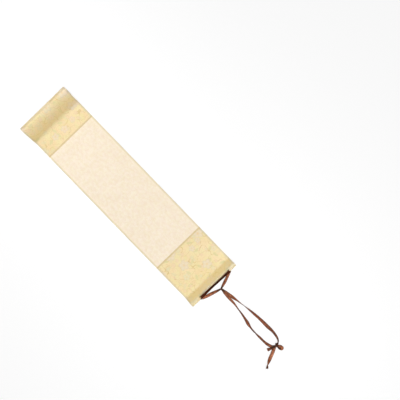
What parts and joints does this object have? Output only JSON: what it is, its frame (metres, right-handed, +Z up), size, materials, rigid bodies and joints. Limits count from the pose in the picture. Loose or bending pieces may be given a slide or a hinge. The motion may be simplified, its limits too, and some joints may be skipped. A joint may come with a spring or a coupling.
{
  "type": "paper scroll",
  "caption": "Small blank hanging scroll lying unrolled: cream paper between brocade panels, wrapped foot roller and hanging rod, and a tied ribbon.",
  "frame": {"origin": "on the table under the middle of the scroll, measured without the ribbon", "axes": "+Y along the sheet from the foot roller to the hanging rod, +Z up from the table out of the face side, +X across the sheet, to the right for a reader who has the hanging rod at the top"},
  "size_m": [0.1004, 0.5808, 0.018],
  "materials": {
    "backing_paper": "matte backing paper",
    "brocade": "yellow figured brocade, soft sheen",
    "divider_strip": "ochre woven strip",
    "picture_paper": "matte cream paper with fine fibres",
    "side_strip": "plain pale yellow silk strip",
    "dowel_wood": "plain sanded wood",
    "ribbon_satin": "brown satin ribbon"
  },
  "bodies": {
    "root": {"backing_sheet": "backing_paper", "foot_brocade": "brocade", "head_brocade": "brocade", "foot_divider": "divider_strip", "head_divider": "divider_strip", "picture_paper": "picture_paper", "side_strip_left": "side_strip", "side_strip_right": "side_strip", "roller": "dowel_wood", "hanging_rod": "dowel_wood", "ribbon": "ribbon_satin"}
  },
  "joints": []
}
